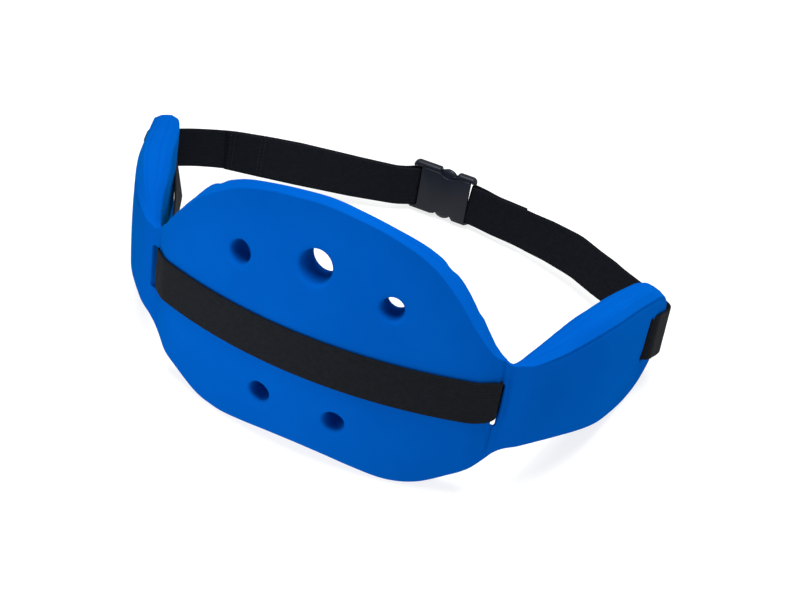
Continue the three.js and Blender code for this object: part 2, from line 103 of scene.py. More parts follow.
# Fine lines along the top edge: depth on the panel, more on the wings, half width, shares of the way across
LINE_DEEP, LINE_MORE, LINE_HALF, LINE_AT = 0.2, 0.6, 1.3, (0.12, 0.72)
LINE_END = (325, 25)  # they fade out from here, over this length
# How far in the shoulder and the ridge lie from their faces: at most, and at most this share of the thickness
SHOULDER_IN, RIDGE_IN = (6, 0.3), (7, 0.4)
FACE_INSET, INNER_INSET = (4, 4), (5, 3)  # from the outline to each face: everywhere, and more at the tips
FINE_REACH = 22  # the mesh is finer this far about the hinges
RIM_TOP, RIM_LOW = (2.4, 24.0), (2.0, 22.0)  # the panel's rim: height or fall, reach
RIM_LOWER = 1.2  # and how much lower the low crease lies for it
FLOOR_GAP = 0.0001  # metres: the soft low edge lies flat on the floor, this far above it

SLOT_RIM, SLOT_LINE = 4.1, (1.3, 0.45)  # line round the hinge slots: distance, its half width and depth
# Holes: along, z, radius
HOLES = [(0, 79.3, 14.3), (67.5, 65.3, 9.7), (-68.6, 64.6, 10.0), (34.8, -55.9, 9.6), (-34.8, -55.9, 9.6)]
HOLE_FILLET = 3.4
SLOT_FILLET = 0.8
# Slots: along outside, along inside, half width, top outside, top inside, bottom outside, bottom inside
SLOTS = [(164.2, 164.8, 2.6, 17.6, 21, -24.6, -29), (346.2, 334.2, 3.0, 25, 21.5, -21, -23.5)]
# Hollow beside the left wing's inside slot: along, half length, depth, half height, fade above and below
SLOT_SEAT = (338.0, 30.0, 3.4, 22.0, 14)
LEFT_SLOT_MORE = 3.2  # the left hinge slot gapes beside the strap: half of its extra width

# Strap
STRAP_WIDTH, STRAP_THICK, GAP = 40.0, 1.8, 0.3
STRAP_ON_PANEL = 150.0
STRAP_EDGE = 0.9  # rounding of its edges
STRAP_STEP = 5  # longest piece of its line
# Its edges draw in at the hinge slots: reach, upper edge, share of the lower half
SLOT_PINCH = (9.0, 0.8, 0.2)
# Its way through the right and the left wing: along, depth, bend
WING_ROUTE = [(163.8, 2.4, 4), (166.0, 15.5, 6), (333, 30.5, 6), (348, -4.0, 8), (376.8, -3.3, 8)]
LEFT_ROUTE = [(162.6, 3.2, 3), (164.2, 15.5, 6), (333, 30.5, 6), (348, -1.8, 8), (377, -1.8, 8)]
TIP_RISE = (4.2, 24.0)  # the strap rises where it comes out of the right wing: height, reach
RIGHT_BACK = [(174, 268, 80), (133, 287.5, 70), (75, 303, 150)]  # x, y, bend
LEFT_BACK = [(-58, 302, 30), (-150, 275, 150), (-216, 253.5, 80)]
LAYER = STRAP_THICK + 2 * GAP
TAIL = [(46, 306.6 + LAYER, 60), (75, 303 + LAYER, 0)]

# How far the strap leans, in X and Y for each millimetre of height, behind the belt by X
BACK_LEAN = np.array([
    (-253, 0, -0.1), (-216, 0, 0.06), (-180, -0.02, 0.19), (-150, -0.04, 0.24), (-100, -0.02, 0.16),
    (-45, 0, 0.0), (0, 0, 0), (19, 0.09, 0), (40, 0.03, 0.02), (75, 0, 0.06),
    (132, 0.015, 0.2), (171, 0.01, 0.21), (240, -0.07, 0.27),
])
LEAN_FROM = (165, 40)  # it starts to lean at this y, over this length
INSIDE_LEAN, INSIDE_AT, INSIDE_REACH = -0.24, 190, 90  # and inside the left wing, in X: lean, y, reach
# How much higher the strap lies behind the belt: x, height
BACK_RISE = np.array([
    (-256, 1.2), (-238, 0.8), (-220, -0.2), (-175, -0.5), (-135, -1.3), (-95, -2.1), (-50, -1.8),
    (-38, 0), (30, 0), (45, -0.9), (85, -0.8), (105, 0.5), (138, 0.1), (160, -1.8), (185, -2.6),
    (205, -1.4), (218, 0.4), (232, 1.4),
])
RISE_FROM = (215, 20)  # from this y on, over this length
PANEL_RISE = (0.5, 40, 60)  # on the panel: height, and the y from which it fades, over this length

# Buckle: u along X, v along Z, w from its waist-side face outward
BUCKLE_AT = np.array([-7.0, 306.0, 1.5])
BUCKLE_THICK, BUCKLE_HALF = 11.0, 22.2
SOCKET_BAR, PLUG_BAR = (-31.9, 2.4), (26.0, 1.7)  # u, radius
SOCKET_LEFT, SOCKET_RIGHT, PLATE = -27.0, 22.0, 2.0
NOTCH_U, NOTCH_V, NOTCH_RADIUS = 1.0, 34.3, 15.7
BUTTON_U, BUTTON_HALF, BUTTON_REACH = -1.0, 8.6, 26.3
RAIL_REACH = {1: 26.2, -1: 24.4}  # half height of the upper and the lower rails
RAIL_W, PLUG_W = (1.0, 10.0), (2.7, 8.3)  # from and to, in w
BAR_REACH = 23  # half length of the strap bars


def placed(points):
    """Points of the belt's frame, in millimetres, as metres in the shared frame."""
    p = np.asarray(points, float).reshape(-1, 3)
    c, s = math.cos(LEAN), math.sin(LEAN)
    turned = np.stack([p[:, 0], c * p[:, 1] + s * p[:, 2], c * p[:, 2] - s * p[:, 1]], 1)
    return (turned + BELT_AT) / 1000


def turned(v):
    """A direction of the belt's frame in the shared frame."""
    c, s = math.cos(LEAN), math.sin(LEAN)
    return Vector((v[0], c * v[1] + s * v[2], c * v[2] - s * v[1]))


# Foam
def plan_at(along):
    """Plan position and heading of the outer face at a length along it."""
    along = np.asarray(along, float)
    side = np.where(along < 0, -1.0, 1.0)
    rest = np.abs(along)
    x, y, heading = np.zeros_like(rest), np.zeros_like(rest), np.zeros_like(rest)
    for k, (length, right, left) in enumerate(PLAN_ARCS):
        run = np.minimum(rest, length) if k + 1 < len(PLAN_ARCS) else rest
        half = run / np.where(side > 0, right, left) / 2
        chord = run * np.sinc(half / math.pi)
        x += chord * np.cos(heading + half)
        y += chord * np.sin(heading + half)
        heading += 2 * half
        rest = rest - run
    return side * x, y, side * heading


def section(column, along):
    """One column of the section table, by a smooth curve through its rows."""
    along = np.asarray(along, float)
    at = np.minimum(np.abs(along), HALF_LENGTH)
    s, v = SECTIONS[:, 0], SECTIONS[:, column]
    slope = np.zeros(len(s))
    slope[1:-1] = (v[2:] - v[:-2]) / (s[2:] - s[:-2])
    slope[-1] = (v[-1] - v[-2]) / (s[-1] - s[-2])
    i = np.clip(np.searchsorted(s, at) - 1, 0, len(s) - 2)
    span = s[i + 1] - s[i]
    t = (at - s[i]) / span
    value = (
        v[i] * (1 + 2 * t) * (1 - t) ** 2
        + v[i + 1] * (3 - 2 * t) * t**2
        + slope[i] * span * t * (1 - t) ** 2
        + slope[i + 1] * span * (t - 1) * t**2
    )
    if column in (TOP, SHOULDER, RIDGE, BRINK):
        drop = np.where(along < 0, np.interp(at, LEFT_DROP[:, 0], LEFT_DROP[:, 1]), 0)
        value = value - drop if column == TOP else value + drop
    if column in (RIDGE, BRINK):
        value = value - np.where(along > 0, np.interp(at, RIGHT_LESS[:, 0], RIGHT_LESS[:, 1]), 0)
    if column in (TOP, LOW):
        more = np.interp(at, LEFT_MORE[:, 0], LEFT_MORE[:, column])
        value = value + np.where(along < 0, more if column == TOP else -more, 0)
    if column == LOW:
        value = value - RIM_LOWER * on_panel(along)
    return value


def on_panel(along):
    """Share of the panel's rim: one on the panel, none on the wings."""
    return 1 - smooth_step((np.abs(along) - PANEL_END[0]) / PANEL_END[1])


def bump(off, half, depth):
    """A soft hump of a half width, as deep as given at its middle."""
    off = np.abs(off) / half
    return np.where(off < 1, depth * np.cos(np.minimum(off, 1) * math.pi / 2) ** 2, 0)


def outer_depth(along, z):
    """How far the outer face lies in from the plan line: crown, hinge, creases and slot rims."""
    at = np.abs(along)
    depth = bump(at - HINGE_AT, HINGE_HALF, HINGE_DEPTH) + section(CROWN, along) * z * z
    near_low = smooth_step((z - section(LOW, along) - CREASE_FADE[0]) / CREASE_FADE[1])
    for where, deep, half in CREASES:
        depth = depth + bump(at - where, half, deep) * near_low
    more = np.where(np.asarray(along) < 0, LEFT_SLOT_MORE, 0)
    aside = np.maximum(np.abs(at - SLOTS[0][0] - more) - SLOTS[0][2] - more, 0)
    over = np.maximum(z - SLOTS[0][3], SLOTS[0][5] - z)
    rim = np.hypot(aside, np.maximum(over, 0))
    return depth + bump(rim - SLOT_RIM, *SLOT_LINE)


def flex_depth(along):
    """Depth of the grooves across the waist side of the panel."""
    return sum(bump(np.abs(along) - where, half, deep) for where, deep, half in FLEX_GROOVES)


def inner_depth(along, z):
    """How far the waist-side face lies in from the plan line."""
    where, half, deep, high, fade = SLOT_SEAT
    seat = np.where(np.asarray(along) < 0, bump(np.abs(along) - where, half, deep), 0)
    return section(THICK, along) - flex_depth(along) - seat * (1 - smooth_step((np.abs(z) - high) / fade))


def inward(along, depth, z):
    """Points of the belt's frame at a length along the foam, a depth and a height."""
    x, y, heading = plan_at(along)
    z = np.broadcast_to(np.asarray(z, float), x.shape)
    return np.stack([x - depth * np.sin(heading), y + depth * np.cos(heading), z], -1)


def smooth_step(x):
    """From none at 0 to one at 1, with soft ends."""
    x = np.clip(x, 0, 1)
    return x * x * (3 - 2 * x)


def resampled(line, step):
    """A polyline again with points a step apart, where the step may depend on the place along it."""
    line = np.asarray(line, float)
    out = [line[0]]
    at = line[0]
    k = 1
    while k < len(line):
        need = step(at)
        gap = np.linalg.norm(line[k] - at)
        if gap >= need:
            at = at + (line[k] - at) * (need / gap)
            out.append(at)
        else:
            k += 1
    if np.linalg.norm(out[-1] - line[-1]) < 0.5 * step(line[-1]):
        out.pop()
    out.append(line[-1])
    return np.array(out)


def foam_outline():
    """Closed outline of the outer crease in along and z, anticlockwise."""

    def rounded(a, corner, b):
        t = np.linspace(0, 1, 17)[:, None]
        return (1 - t) ** 2 * a + 2 * t * (1 - t) * corner + t**2 * b

    def half(side):
        s = side * np.linspace(0, HALF_LENGTH, 600)
        low, top = np.stack([s, section(LOW, s)], 1), np.stack([s, section(TOP, s)], 1)
        corner_low, corner_top = low[-1], top[-1]
        low = low[np.linalg.norm(low - corner_low, axis=1) > TIP_CORNER]
        top = top[np.linalg.norm(top - corner_top, axis=1) > TIP_CORNER]
        way = (corner_top - corner_low) / np.linalg.norm(corner_top - corner_low)
        end_low, end_top = corner_low + TIP_CORNER * way, corner_top - TIP_CORNER * way
        bends = rounded(low[-1], corner_low, end_low), rounded(end_top, corner_top, top[-1])
        line = np.concatenate([low, *bends, top[::-1]])
        return resampled(line, lambda p: 1.6 if abs(abs(p[0]) - HINGE_AT) < FINE_REACH else 3.4)

    return np.concatenate([half(1), half(-1)[1:-1][::-1]])


def outward_normals(loop):
    """Normals of an anticlockwise loop."""
    tangent = np.roll(loop, -1, 0) - np.roll(loop, 1, 0)
    tangent /= np.linalg.norm(tangent, axis=1)[:, None]
    return np.stack([tangent[:, 1], -tangent[:, 0]], 1)


def rounded_corners(path, radii, steps):
    """Rows of points along a path whose inner corners are rounded. path is a list of (N, 2) arrays."""
    rows = [path[0]]
    for k in range(1, len(path) - 1):
        back, ahead = path[k - 1] - path[k], path[k + 1] - path[k]
        lb, la = np.linalg.norm(back, axis=1), np.linalg.norm(ahead, axis=1)
        back, ahead = back / lb[:, None], ahead / la[:, None]
        turn = math.pi - np.arccos(np.clip((back * ahead).sum(1), -1, 1))
        short = np.minimum(lb, la)
        cut = np.clip(radii[k - 1] * np.tan(turn / 2), 0.06 * short, 0.46 * short)[:, None]
        for t in np.linspace(0, 1, steps[k - 1]):
            rows.append(path[k] + (1 - t) ** 2 * cut * back + t**2 * cut * ahead)
    rows.append(path[-1])
    return rows


def inside(points, loop):
    """Which points lie inside a closed loop."""
    x, y = points[:, 0][:, None], points[:, 1][:, None]
    a, b = loop, np.roll(loop, -1, 0)
    crosses = (a[:, 1] > y) != (b[:, 1] > y)
    rise = np.where(b[:, 1] == a[:, 1], 1e-9, b[:, 1] - a[:, 1])
    at = a[:, 0] + (y - a[:, 1]) * (b[:, 0] - a[:, 0]) / rise
    return (crosses & (x < at)).sum(1) % 2 == 1


def nearest(points, others):
    """Distance from each point to the nearest of the others."""
    out = np.empty(len(points))
    for k in range(0, len(points), 2000):
        d = points[k : k + 2000, None, :] - others[None]
        out[k : k + 2000] = np.sqrt((d * d).sum(2)).min(1)
    return out


def triangulated(loop, rings, spacing):
    """Triangles that fill a loop around rings. Loop and ring points come first, in order."""
    fixed = np.concatenate([loop, *rings])
    alongs = [0.0]
    while alongs[-1] < HALF_LENGTH:
        at = alongs[-1]
        off = abs(at - HINGE_AT)
        step = 0.75 if off < 8 else 1.8 if off < FINE_REACH else spacing
        if any(abs(at - c) < h + 2 for c, _, h in FLEX_GROOVES):
            step = min(step, 1.5)
        alongs.append(at + step)
    columns = np.array(sorted({-a for a in alongs} | set(alongs)))
    heights = np.arange(-112, 140, spacing)
    grid = []
    for k, s in enumerate(columns):
        shift = spacing / 2 if k % 2 else 0
        grid.append(np.stack([np.full_like(heights, s), heights + shift], 1))
    grid = np.concatenate(grid)
    grid = grid[inside(grid, loop)]
    for ring in rings:
        grid = grid[~inside(grid, ring)]
    grid = grid[nearest(grid, fixed) > 0.75]
    points = np.concatenate([fixed, grid])
    edges, start = [], 0
    for part in (loop, *rings):
        n = len(part)
        edges += [(start + k, start + (k + 1) % n) for k in range(n)]
        start += n
    made = delaunay_2d_cdt([Vector(p) for p in points], edges, [], 0, 1e-6, True)
    flat = np.array([v[:] for v in made[0]])
    faces = np.array(made[2])
    middle = flat[faces].mean(1)
    keep = inside(middle, loop)
    for ring in rings:
        keep &= ~inside(middle, ring)
    where = {}
    for k, origins in enumerate(made[3]):
        for o in origins:
            where[o] = k
    order = np.array([where[k] for k in range(len(fixed))])
    return flat, faces[keep], order


def ring_of_slot(half_width, top, bottom, grow, count=44):
    """Points of a slot's rounded rim about its middle line."""
    corner = min(half_width, 2.7)
    angles = (np.arange(count) + 0.5) * 2 * math.pi / count
    n = np.stack([np.cos(angles), np.sin(angles)], 1)
    ends = np.where(n[:, 1] > 0, top - corner, bottom + corner)
    base = np.stack([np.sign(n[:, 0]) * (half_width - corner), ends], 1)
    return base + n * (corner + grow)


def foam_mesh():
    """The foam as one closed mesh: edge band, rims and walls of holes and slots, and both faces."""
    verts, faces = [], []
    count = 0

    def add(points):
        nonlocal count
        verts.append(np.asarray(points))
        count += len(points)
        return np.arange(count - len(points), count)

    def strip(a, b):
        n = len(a)
        for k in range(n):
            faces.append((a[k], a[(k + 1) % n], b[(k + 1) % n], b[k]))

    # edge band between the outer and the waist-side face
    q = foam_outline()
    n = outward_normals(q)
    s, z = q[:, 0], q[:, 1]

    def face_depth(along, high):
        """Depth of the outer face with the panel's rim: proud at the top crease, falling at the low one."""
        points = np.stack([along, high], 1)
        top_share = np.clip(1 - nearest(points, q[n[:, 1] > 0]) / RIM_TOP[1], 0, 1) ** 2
        low_share = np.clip(1 - nearest(points, q[n[:, 1] <= 0]) / RIM_LOW[1], 0, 1) ** 2
        rim = RIM_TOP[0] * top_share - RIM_LOW[0] * low_share
        return outer_depth(along, high) - on_panel(along) * rim

    end = smooth_step((np.abs(s) - (HALF_LENGTH - TIP_REACH)) / TIP_REACH)
    upper = n[:, 1] > 0
    upright = np.abs(n[:, 1]) * (1 - end)
    low_rise = section(LOW_RISE, s)
    shoulder = np.where(upper, section(SHOULDER, s), 0.8 * low_rise) * upright
    ridge = np.where(upper, section(RIDGE, s) - 0.45 * flex_depth(s), 0.8 * low_rise) * upright
    brink = np.where(upper, section(BRINK, s), 0) * upright
    bulge = TIP_BULGE * end * np.abs(n[:, 0])
    shoulder, ridge = shoulder + 0.75 * bulge, ridge + 0.75 * bulge
    inset, inner_inset = FACE_INSET[0] + FACE_INSET[1] * end, INNER_INSET[0] + INNER_INSET[1] * end
    b = q - inset[:, None] * n
    inner = inner_depth(s, z)
    outer = face_depth(s, z)
    deep = inner - outer
    near = outer + np.minimum(SHOULDER_IN[0], SHOULDER_IN[1] * deep)
    far = inner - np.minimum(RIDGE_IN[0], RIDGE_IN[1] * deep)
    on_wing = smooth_step((np.abs(s) - WING_FROM[0]) / WING_FROM[1])
    groove = np.where(upper, WING_GROOVE * on_wing, 0) * upright
    before_tip = 1 - smooth_step((np.abs(s) - LINE_END[0]) / LINE_END[1])
    line_deep = np.where(upper, LINE_DEEP + LINE_MORE * on_wing, 0) * upright * before_tip

    def line_in(rise_a, depth_a, rise_b, depth_b, share, deep_line):
        """Three points of a fine groove at a share of the way between two corners of the top edge."""
        out = []
        for off, sink in ((-LINE_HALF, 0), (0, 1), (LINE_HALF, 0)):
            t = np.clip(share + off / np.maximum(depth_b - depth_a, 6), 0.03, 0.97)
            lift = rise_a + (rise_b - rise_a) * t + (1.6 * upright + bulge) * t * (1 - t)
            out.append(np.stack([lift - sink * deep_line, depth_a + (depth_b - depth_a) * t], 1))
        return out

    path = [
        np.stack([-inset, face_depth(b[:, 0], b[:, 1])], 1),
        np.stack([-0.45 * inset, face_depth(*(q - 0.45 * inset[:, None] * n).T) + groove], 1),
        np.stack([0 * s, outer], 1),
        np.stack([shoulder, near], 1),
        *line_in(shoulder, near, ridge, far, LINE_AT[0], line_deep),
        *line_in(shoulder, near, ridge, far, LINE_AT[1], line_deep),
        np.stack([ridge, far], 1),
        np.stack([brink, inner], 1),
        np.stack([brink - inner_inset, inner], 1),
    ]
    fine = [1.2 + 6 * end] * 6
    radii = [1.4 + 2 * end, 2.2 + 5.8 * end, 2.5 + 5 * end, *fine, 5 + 3 * end, 4 + 4 * end]
    rows = []
    for row in rounded_corners(path, radii, (4, 6, 4, 2, 3, 2, 2, 3, 2, 5, 6)):
        at = q + row[:, :1] * n
        rows.append((at, add(inward(at[:, 0], row[:, 1], at[:, 1]))))
    for (_, a), (_, c) in zip(rows, rows[1:]):
        strip(a, c)

    # holes and slots: rims on both faces, filleted into the walls between them
    outer_rings, inner_rings, outer_ids, inner_ids = [], [], [], []
    turns = np.radians([0, 22.5, 45, 67.5, 90])
    for hx, hz, radius in HOLES:
        sides = 64 if radius > 12 else 48
        phi = np.arange(sides) * 2 * math.pi / sides
        levels = []
        for depth_of, way, rings in ((outer_depth, 1, outer_rings), (inner_depth, -1, inner_rings)):
            for a in turns:
                rho = radius + HOLE_FILLET * (1 - math.sin(a))
                at, zz = hx + rho * np.cos(phi), hz + rho * np.sin(phi)
                deep = depth_of(at, zz) + HOLE_FILLET * (1 - math.cos(a)) * way
                levels.append(inward(at, deep, zz))
                if a == 0:
                    rings.append(np.stack([at, zz], 1))
        first, second = levels[:5], levels[5:][::-1]
        walls = [first[-1] + (second[0] - first[-1]) * t for t in (0.2, 0.4, 0.6, 0.8)]
        ids = [add(p) for p in (*first, *walls, *second)]
        outer_ids.append(ids[0])
        inner_ids.append(ids[-1])
        for a, c in zip(ids, ids[1:]):
            strip(a, c)
    for side in (1, -1):
        for outside, within, half, top, top_within, bottom, bottom_within in SLOTS:
            levels, back = [], []
            more = LEFT_SLOT_MORE if side < 0 and outside == SLOTS[0][0] else 0
            for a in turns:
                grow, sink = SLOT_FILLET * (1 - math.sin(a)), SLOT_FILLET * (1 - math.cos(a))
                ring = ring_of_slot(half + more, top, bottom, grow) + [side * (outside + more), 0]
                deep = outer_depth(ring[:, 0], ring[:, 1]) + sink
                levels.append(inward(ring[:, 0], deep, ring[:, 1]))
                if a == 0:
                    outer_rings.append(ring)
                ring = ring_of_slot(half + more, top_within, bottom_within, grow)
                ring = ring + [side * (within + more), 0]
                deep = inner_depth(ring[:, 0], ring[:, 1]) - sink
                back.append(inward(ring[:, 0], deep, ring[:, 1]))
                if a == 0:
                    inner_rings.append(ring)
            back = back[::-1]
            walls = [levels[-1] + (back[0] - levels[-1]) * t for t in (0.33, 0.67)]
            ids = [add(p) for p in (*levels, *walls, *back)]
            outer_ids.append(ids[0])
            inner_ids.append(ids[-1])
            for a, c in zip(ids, ids[1:]):
                strip(a, c)

    # the two faces
    for loop, ids, rings, ring_ids, depth_of, spacing in (
        (rows[0][0], rows[0][1], outer_rings, outer_ids, face_depth, 4.0),
        (rows[-1][0], rows[-1][1], inner_rings, inner_ids, inner_depth, 6.0),
    ):
        flat, tris, order = triangulated(loop, rings, spacing)
        fixed_ids = np.concatenate([ids, *ring_ids])
        target = np.full(len(flat), -1)
        target[order] = fixed_ids
        free = np.flatnonzero(target < 0)
        target[free] = add(inward(flat[free, 0], depth_of(flat[free, 0], flat[free, 1]), flat[free, 1]))
        faces.extend(tuple(target[t]) for t in tris)
    made = placed(np.concatenate(verts))
    made[:, 2] = np.maximum(made[:, 2], FLOOR_GAP)
    return made, faces


def mesh_object(name, verts, faces, material, smooth=True, uv=None):
    """An object of one mesh with its normals outward."""
    mesh = bpy.data.meshes.new(name)
    mesh.from_pydata([tuple(v) for v in verts], [], [tuple(int(i) for i in f) for f in faces])
    mesh.update()
    if uv is not None:
        layer = mesh.uv_layers.new(name="UVMap")
        index = np.empty(len(mesh.loops), int)
        mesh.loops.foreach_get("vertex_index", index)
        layer.data.foreach_set("uv", np.asarray(uv, float)[index].ravel())
    bm = bmesh.new()
    bm.from_mesh(mesh)
    bmesh.ops.recalc_face_normals(bm, faces=bm.faces)
    bm.to_mesh(mesh)
    bm.free()
    mesh.polygons.foreach_set("use_smooth", [smooth] * len(mesh.polygons))
    obj = bpy.data.objects.new(name, mesh)
    bpy.context.scene.collection.objects.link(obj)
    mesh.materials.append(material)
    return obj


# Materials: the two tones that each one varies between
FOAM_TONES = (0.0002, 0.0655, 0.340), (0.0003, 0.0735, 0.368)
# The webbing's darker tone is partly painted shade in the hollows of its ribs and weave, and its lighter tone
# is partly painted light on their crests
WEBBING_TONES = (0.0028, 0.0035, 0.0048), (0.0090, 0.0108, 0.0145)
PLASTIC_TONES = (0.0043, 0.0062, 0.0118), (0.0058, 0.0080, 0.0150)
THREAD_TONES = (0.004, 0.005, 0.007), (0.014, 0.016, 0.02)
RIB_PITCH, WEFT_PITCH, TWILL_PITCH, TWILL_SLANT = 1.55, 1.1, 2.2, 0.9  # millimetres, and the slant's share


class Nodes:
    """Short hand for one material's node tree."""

    def __init__(self, name):
        self.material = bpy.data.materials.new(name)
        self.material.use_nodes = True
        self.tree = self.material.node_tree
        self.shader = self.tree.nodes["Principled BSDF"]

    def add(self, kind, **settings):
        node = self.tree.nodes.new(kind)
        for key, value in settings.items():
            if key in node.inputs:
                node.inputs[key].default_value = value
            else:
                setattr(node, key, value)
        return node

    def link(self, a, b):
        self.tree.links.new(a, b)

    def ramp(self, factor, stops):
        """A ramp between two tones, each with its place."""
        node = self.add("ShaderNodeValToRGB")
        elements = node.color_ramp.elements
        for element, (at, color) in zip(elements, stops):
            element.position = at
            element.color = (*color, 1)
        self.link(factor, node.inputs["Fac"])
        return node.outputs["Color"]

    def math(self, operation, a, b=None):
        node = self.add("ShaderNodeMath", operation=operation)
        for socket, value in zip(node.inputs, (a, b)):
            if value is None:
                continue
            if isinstance(value, (int, float)):
                socket.default_value = value
            else:
                self.link(value, socket)
        return node.outputs[0]


def foam_material():
    m = Nodes("blue_foam")
    where = m.add("ShaderNodeTexCoord").outputs["Object"]
    cloud = m.add("ShaderNodeTexNoise", Scale=14.0, Detail=3.0, Roughness=0.55)
    m.link(where, cloud.inputs["Vector"])
    skin = m.add("ShaderNodeTexNoise", Scale=900.0, Detail=2.0, Roughness=0.6)
    m.link(where, skin.inputs["Vector"])
    tone = m.ramp(cloud.outputs["Fac"], zip((0.3, 0.7), FOAM_TONES))
    m.link(tone, m.shader.inputs["Base Color"])
    rough = m.add("ShaderNodeMapRange")
    rough.inputs["To Min"].default_value = 0.52
    rough.inputs["To Max"].default_value = 0.64
    m.link(skin.outputs["Fac"], rough.inputs["Value"])
    m.link(rough.outputs[0], m.shader.inputs["Roughness"])
    grain = m.add("ShaderNodeBump", Strength=0.06, Distance=0.0004)
    m.link(skin.outputs["Fac"], grain.inputs["Height"])
    m.link(grain.outputs["Normal"], m.shader.inputs["Normal"])
    m.shader.inputs["Specular IOR Level"].default_value = 0.0
    m.shader.inputs["Sheen Weight"].default_value = 0.06
    m.shader.inputs["Sheen Roughness"].default_value = 0.5
    m.shader.inputs["Sheen Tint"].default_value = (0.0, 0.55, 1.0, 1)
    return m.material


def webbing_material():
    """Woven webbing: lengthwise ribs across the width and fine weft lines, by UV in millimetres. Its colour
    follows the relief of the ribs and weave: painted shade in their hollows and painted light on their
    crests, mixed with a random fuzz of tone.
    """
    m = Nodes("black_webbing")
    uv = m.add("ShaderNodeUVMap", uv_map="UVMap").outputs["UV"]
    split = m.add("ShaderNodeSeparateXYZ")
    m.link(uv, split.inputs[0])
    along, across = split.outputs["X"], split.outputs["Y"]
    slant = m.math("ADD", along, m.math("MULTIPLY", across, TWILL_SLANT))
    rib = m.math("SINE", m.math("MULTIPLY", across, 2 * math.pi / RIB_PITCH))
    weft = m.math("SINE", m.math("MULTIPLY", along, 2 * math.pi / WEFT_PITCH))
    twill = m.math("SINE", m.math("MULTIPLY", slant, 2 * math.pi / TWILL_PITCH))
    weave = m.math("MULTIPLY", m.math("MULTIPLY", weft, twill), 0.3)
    height = m.math("ADD", m.math("MULTIPLY", rib, 0.6), weave)
    noise = m.add("ShaderNodeTexNoise", Scale=260.0, Detail=3.0)
    m.link(m.add("ShaderNodeTexCoord").outputs["Object"], noise.inputs["Vector"])
    fuzz = m.math("ADD", m.math("MULTIPLY", noise.outputs["Fac"], 0.45), 0.275)
    # Painted shade and light: the colour is darker in the hollows and lighter on the crests of the rib and
    # weave relief; the fuzz is random tone
    shade = m.math("ADD", m.math("MULTIPLY", height, 0.36), fuzz)
    m.link(m.ramp(shade, zip((0.2, 0.85), WEBBING_TONES)), m.shader.inputs["Base Color"])
    bump_node = m.add("ShaderNodeBump", Strength=0.5, Distance=0.0003)
    m.link(height, bump_node.inputs["Height"])
    m.link(bump_node.outputs["Normal"], m.shader.inputs["Normal"])
    m.shader.inputs["Roughness"].default_value = 0.78
    m.shader.inputs["Specular IOR Level"].default_value = 0.05
    m.shader.inputs["Sheen Weight"].default_value = 0.004
    m.shader.inputs["Sheen Roughness"].default_value = 0.5
    return m.material


def plastic_material():
    m = Nodes("black_plastic")
    where = m.add("ShaderNodeTexCoord").outputs["Object"]
    grain = m.add("ShaderNodeTexNoise", Scale=1400.0, Detail=2.0)
    m.link(where, grain.inputs["Vector"])
    cloud = m.add("ShaderNodeTexNoise", Scale=40.0, Detail=2.0)
    m.link(where, cloud.inputs["Vector"])
    tone = m.ramp(cloud.outputs["Fac"], zip((0.3, 0.7), PLASTIC_TONES))
    m.link(tone, m.shader.inputs["Base Color"])
    rough = m.add("ShaderNodeMapRange")
    rough.inputs["To Min"].default_value = 0.38
    rough.inputs["To Max"].default_value = 0.5
    m.link(grain.outputs["Fac"], rough.inputs["Value"])
    m.link(rough.outputs[0], m.shader.inputs["Roughness"])
    bump_node = m.add("ShaderNodeBump", Strength=0.08, Distance=0.0002)
    m.link(grain.outputs["Fac"], bump_node.inputs["Height"])
    m.link(bump_node.outputs["Normal"], m.shader.inputs["Normal"])
    m.shader.inputs["Specular IOR Level"].default_value = 0.22
    return m.material


FOAM, WEBBING, PLASTIC = foam_material(), webbing_material(), plastic_material()

foam_verts, foam_faces = foam_mesh()
foam = mesh_object("foam_look", foam_verts, foam_faces, FOAM)
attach(foam, "root")
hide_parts("foam_body")


# Strap
def rounded_line(corners, step_deg=6):
    """A plan line through corners of x, y and bend, with its corners rounded."""
    points = [np.array(c[:2], float) for c in corners]
    bends = [c[2] if len(c) > 2 else 0 for c in corners]
    line = [points[0]]
    for k in range(1, len(points) - 1):
        back, ahead = points[k - 1] - points[k], points[k + 1] - points[k]
        lb, la = np.linalg.norm(back), np.linalg.norm(ahead)
        back, ahead = back / lb, ahead / la
        turn = math.pi - math.acos(max(-1, min(1, float(back @ ahead))))
        cut = min(bends[k] * math.tan(turn / 2), 0.48 * min(lb, la))
        for t in np.linspace(0, 1, 2 + math.ceil(turn / math.radians(step_deg))):
            line.append(points[k] + (1 - t) ** 2 * cut * back + t * t * cut * ahead)
    line.append(points[-1])
    return line


def wing_route(side):
    """Corners of the strap's line through one wing, in plan."""
    out = []
    for along, depth, bend in LEFT_ROUTE if side < 0 else WING_ROUTE:
        p = inward(np.array([side * along]), depth, 0)[0]
        out.append((p[0], p[1], bend))
    return out


def fold_line(bar, side, last):
    """The strap's fold round a bar of the buckle, in plan."""
    radius = bar[1] + GAP + STRAP_THICK / 2
    x, y = BUCKLE_AT[0] + bar[0], BUCKLE_AT[1] + BUCKLE_THICK / 2
    turns = np.radians(np.arange(-90, last + 1, 10))
    return [np.array([x + side * radius * math.cos(t), y + radius * math.sin(t)]) for t in turns]


